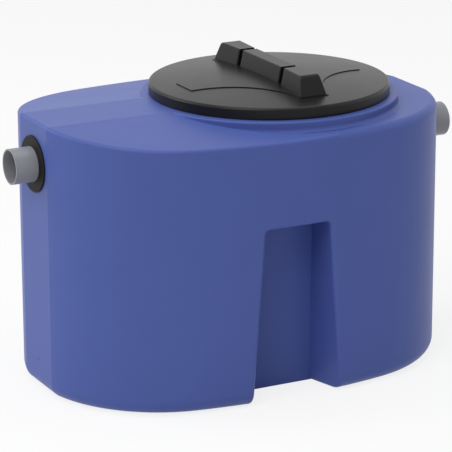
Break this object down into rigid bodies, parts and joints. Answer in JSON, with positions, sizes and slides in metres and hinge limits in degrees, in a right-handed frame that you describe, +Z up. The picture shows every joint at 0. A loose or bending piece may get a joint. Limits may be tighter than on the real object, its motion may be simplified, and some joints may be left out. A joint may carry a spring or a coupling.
{
  "type": "grease separator",
  "caption": "Moulded plastic grease separator with an oval tank, a round lift-off lid with a bar handle, a pipe spigot at each end, and an inlet bend and outlet tee inside.",
  "frame": {"origin": "on the floor plane, under the middle of the tank's plan", "axes": "+X along the length towards the outlet, +Y towards the back, +Z up"},
  "size_m": [0.694, 0.4182, 0.4406],
  "materials": {
    "tank_blue": "satin rotomoulded polyethylene",
    "lid_black": "satin, dark grey",
    "pipe_grey": "smooth, light grey",
    "rubber_black": "matt black"
  },
  "bodies": {
    "tank": {"tank_floor": "tank_blue", "tank_inlet_end": "tank_blue", "tank_outlet_end": "tank_blue", "tank_neck": "tank_blue", "tank_roof_strip": "tank_blue", "tank_front_inlet_side": "tank_blue", "tank_front_waist": "tank_blue", "tank_front_outlet_side": "tank_blue", "tank_ledge_front": "tank_blue", "tank_roof_inlet_front": "tank_blue", "tank_roof_outlet_front": "tank_blue", "tank_back_inlet_side": "tank_blue", "tank_back_waist": "tank_blue", "tank_back_outlet_side": "tank_blue", "tank_ledge_back": "tank_blue", "tank_roof_inlet_back": "tank_blue", "tank_roof_outlet_back": "tank_blue", "inlet_pipe": "pipe_grey", "outlet_pipe": "pipe_grey", "inlet_bend": "pipe_grey", "inlet_drop_pipe": "pipe_grey", "outlet_tee": "pipe_grey", "outlet_dip_pipe": "pipe_grey", "inlet_grommet": "rubber_black", "outlet_grommet": "rubber_black", "neck_seal": "rubber_black"},
    "lid": {"lid_cover": "lid_black", "handle_front_end": "lid_black", "handle_grip": "lid_black", "handle_back_end": "lid_black"}
  },
  "joints": [
    {"name": "lid_lift", "type": "slide", "parent": "tank", "child": "lid", "axis": [0, 0, 1], "range_m": [0, 0.25]}
  ]
}
